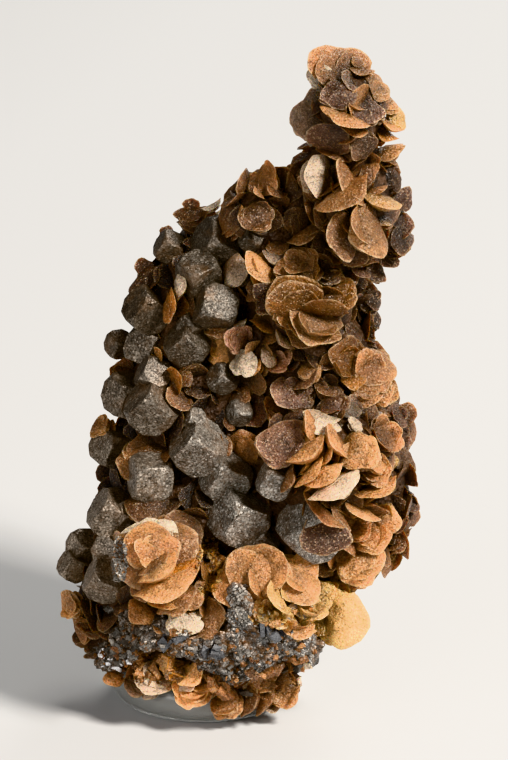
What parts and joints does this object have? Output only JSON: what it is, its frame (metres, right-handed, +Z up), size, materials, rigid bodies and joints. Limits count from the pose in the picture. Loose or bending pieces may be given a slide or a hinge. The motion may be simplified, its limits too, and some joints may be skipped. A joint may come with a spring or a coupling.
{
  "type": "galena on siderite mineral specimen",
  "caption": "Tall mineral specimen of brown siderite rosettes with grey galena crystals and a galena seam, on a round clear base.",
  "frame": {"origin": "centre of the clear base's flat underside, on the surface it stands on", "axes": "+Z up along the specimen's height, -Y out of its display face, +X to the right as it is seen"},
  "size_m": [0.0485, 0.0411, 0.0907],
  "materials": {
    "siderite": "satin, finely crystalline",
    "galena": "dull metallic, etched",
    "clear_base": "frosted clear"
  },
  "bodies": {
    "root": {"clear_base": "clear_base", "galena_back_corner": "galena", "galena_back_foot": "galena", "galena_back_high": "galena", "galena_back_left": "galena", "galena_back_low": "galena", "galena_back_middle": "galena", "galena_back_right": "galena", "galena_back_top": "galena", "galena_chip": "galena", "galena_crest": "galena", "galena_cube": "galena", "galena_edge": "galena", "galena_fleck": "galena", "galena_ledge": "galena", "galena_middle": "galena", "galena_plate": "galena", "galena_point": "galena", "galena_rim": "galena", "galena_seam": "galena", "galena_side": "galena", "galena_spur": "galena", "galena_tip": "galena", "galena_waist": "galena", "siderite": "siderite"}
  },
  "joints": []
}
